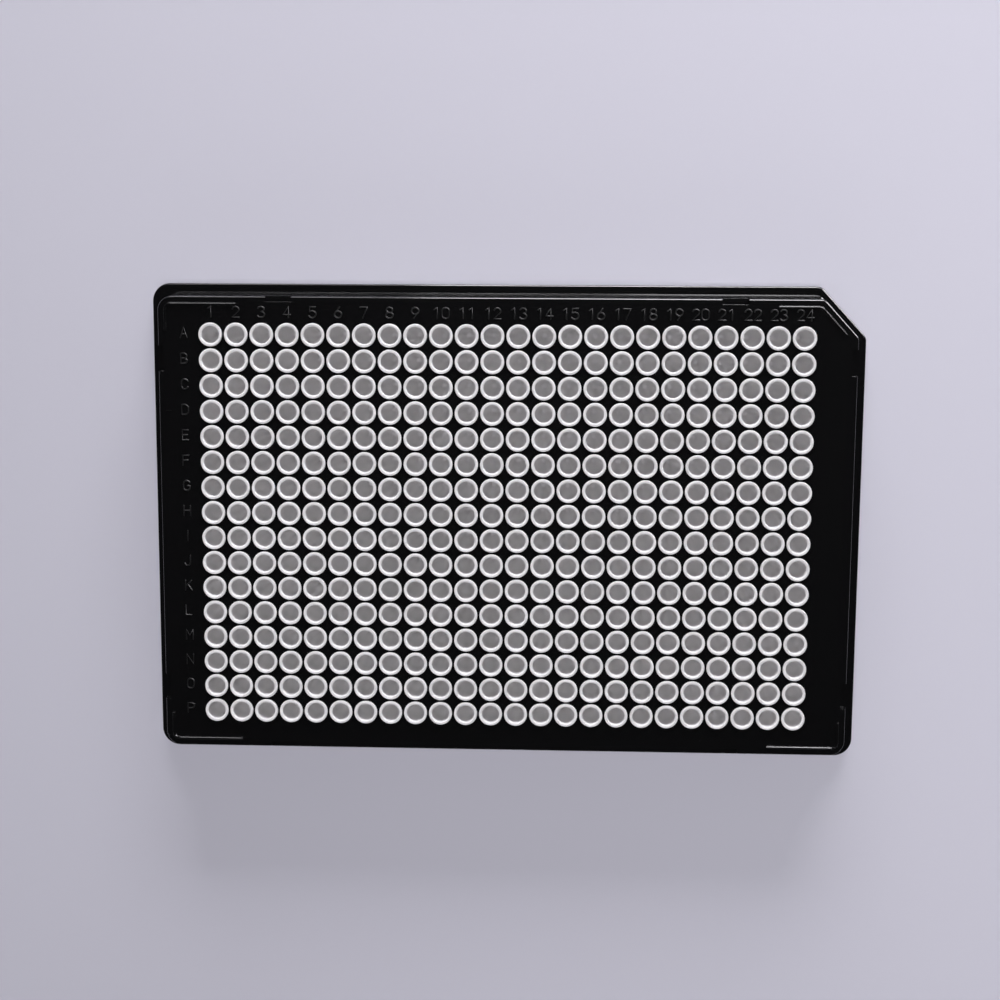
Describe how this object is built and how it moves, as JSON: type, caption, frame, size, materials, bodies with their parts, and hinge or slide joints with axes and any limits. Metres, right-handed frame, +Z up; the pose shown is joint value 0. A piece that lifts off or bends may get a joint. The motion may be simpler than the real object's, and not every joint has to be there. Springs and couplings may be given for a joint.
{
  "type": "pcr plate",
  "caption": "Skirted thermal cycling plate: a stiff black shell with a grid of thin white conical wells through its deck, raised rims and one cut corner.",
  "frame": {"origin": "middle of the footprint, on the resting plane", "axes": "+X along the rows of wells from column 1 to column 24, +Y from row P to row A, +Z up"},
  "size_m": [0.1278, 0.0854, 0.0104],
  "materials": {
    "shell_plastic": "black, smooth moulded, semi-gloss",
    "well_plastic": "opaque white polypropylene, satin"
  },
  "bodies": {
    "root": {"shell": "shell_plastic", "wells": "well_plastic"}
  },
  "joints": []
}
